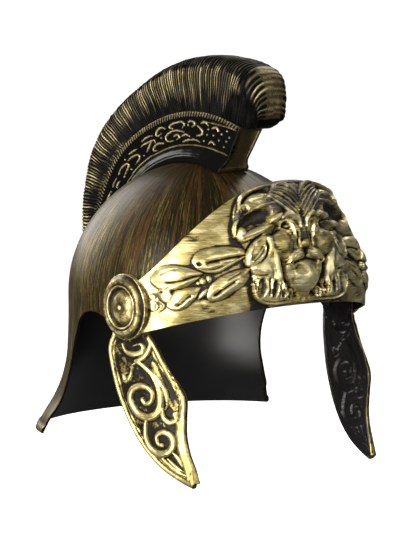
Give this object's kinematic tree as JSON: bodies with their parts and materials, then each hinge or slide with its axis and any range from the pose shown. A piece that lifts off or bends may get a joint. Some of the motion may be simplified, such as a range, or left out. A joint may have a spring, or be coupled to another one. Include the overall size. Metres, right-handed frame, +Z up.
{
  "type": "costume helmet",
  "caption": "Wearable moulded plastic helmet in an antique Roman style with a tall crest, a turning brow plate with a lion mask, and hinged cheek guards.",
  "frame": {"origin": "inside of the crown on the midline, where the helmet sits on a head", "axes": "+X towards the wearer's left, -Y towards the front, +Z up, in the shape that the helmet has when worn"},
  "size_m": [0.2268, 0.2521, 0.301],
  "materials": {
    "skull": "moulded dark plastic brushed with dark bronze paint",
    "gold": "moulded dark plastic dry-brushed with pale antique gold paint",
    "boss": "moulded dark plastic brushed with darker gold paint",
    "crest": "black moulded plastic with khaki gold dry-brushed on its ridges"
  },
  "bodies": {
    "shell": {"skull": "skull", "crest_box": "crest", "crest_plume": "crest", "boss_right": "boss", "boss_left": "boss"},
    "brow": {"brow_plate": "gold"},
    "guard_right": {"cheek_guard_right": "gold"},
    "guard_left": {"cheek_guard_left": "gold"}
  },
  "joints": [
    {"name": "brow_pivot", "type": "hinge", "parent": "shell", "child": "brow", "pos_m": [0, -0.0435, -0.096], "axis": [1, 0, 0], "range_deg": [-12, 6]},
    {"name": "guard_right_pivot", "type": "hinge", "parent": "shell", "child": "guard_right", "pos_m": [0, -0.0435, -0.096], "axis": [1, 0, 0], "range_deg": [-12, 30]},
    {"name": "guard_left_pivot", "type": "hinge", "parent": "shell", "child": "guard_left", "pos_m": [0, -0.0435, -0.096], "axis": [1, 0, 0], "range_deg": [-12, 30]}
  ]
}
